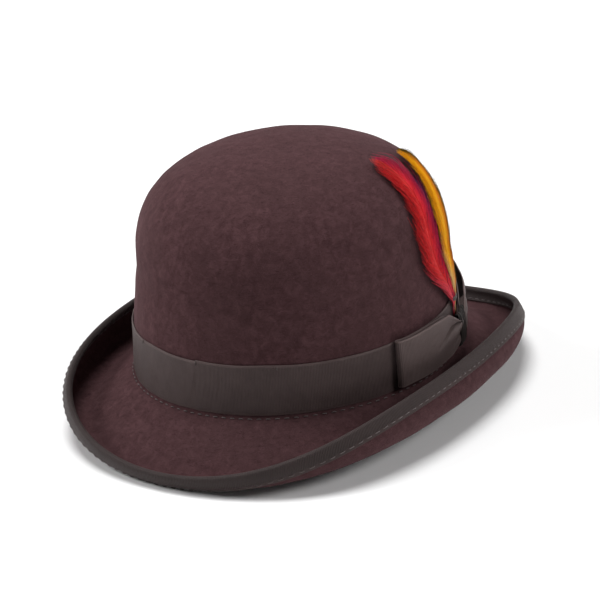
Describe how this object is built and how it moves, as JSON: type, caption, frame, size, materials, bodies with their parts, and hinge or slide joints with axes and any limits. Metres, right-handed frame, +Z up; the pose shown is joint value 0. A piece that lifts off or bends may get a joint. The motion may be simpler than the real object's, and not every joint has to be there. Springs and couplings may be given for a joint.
{
  "type": "bowler hat",
  "caption": "Round-crowned felt hat with a curled, ribbon-bound brim, a ribbon hatband with a side bow and feathers, a leather sweatband and a satin lining.",
  "frame": {"origin": "centre of the hat's outline on the surface the brim rests on", "axes": "+Z up through the crown, front of the hat towards -Y, wearer's left towards +X"},
  "size_m": [0.2342, 0.2934, 0.1448],
  "materials": {
    "felt": "soft matt fur felt, short nap",
    "binding_ribbon": "fine ribbed grosgrain",
    "band_ribbon": "fine ribbed grosgrain",
    "bow_ribbon": "fine ribbed grosgrain",
    "thread": "twisted sewing thread",
    "sweat_leather": "smooth sheepskin",
    "reed_plastic": "smooth cord",
    "lining_satin": "satin",
    "piping_cord": "satin covered cord",
    "label_cloth": "woven tape, blank",
    "inner_bow_ribbon": "narrow satin ribbon",
    "red_feather": "soft barbs",
    "dark_feather": "soft barbs",
    "yellow_feather": "soft barbs",
    "quill_horn": "feather shaft, horn"
  },
  "bodies": {
    "hat": {"felt_body": "felt", "brim_binding": "binding_ribbon", "binding_thread_upper": "thread", "binding_thread_lower": "thread", "hatband": "band_ribbon", "hatband_tacks": "thread", "bow_front_loop": "bow_ribbon", "bow_rear_loop": "bow_ribbon", "bow_knot": "bow_ribbon", "sweatband": "sweat_leather", "sweatband_reed": "reed_plastic", "sweatband_thread": "thread", "lining_side": "lining_satin", "lining_tip": "lining_satin", "lining_piping": "piping_cord", "size_label": "label_cloth", "rear_bow_loops": "inner_bow_ribbon", "rear_bow_knot": "inner_bow_ribbon"},
    "feathers": {"red_quill": "quill_horn", "red_vane": "red_feather", "dark_quill": "quill_horn", "dark_vane": "dark_feather", "yellow_quill": "quill_horn", "yellow_vane": "yellow_feather", "feather_whipping": "thread"}
  },
  "joints": [
    {"name": "feathers_slide", "type": "slide", "parent": "hat", "child": "feathers", "axis": [-0.0315, -0.0098, 0.9995], "range_m": [0, 0.035]}
  ]
}
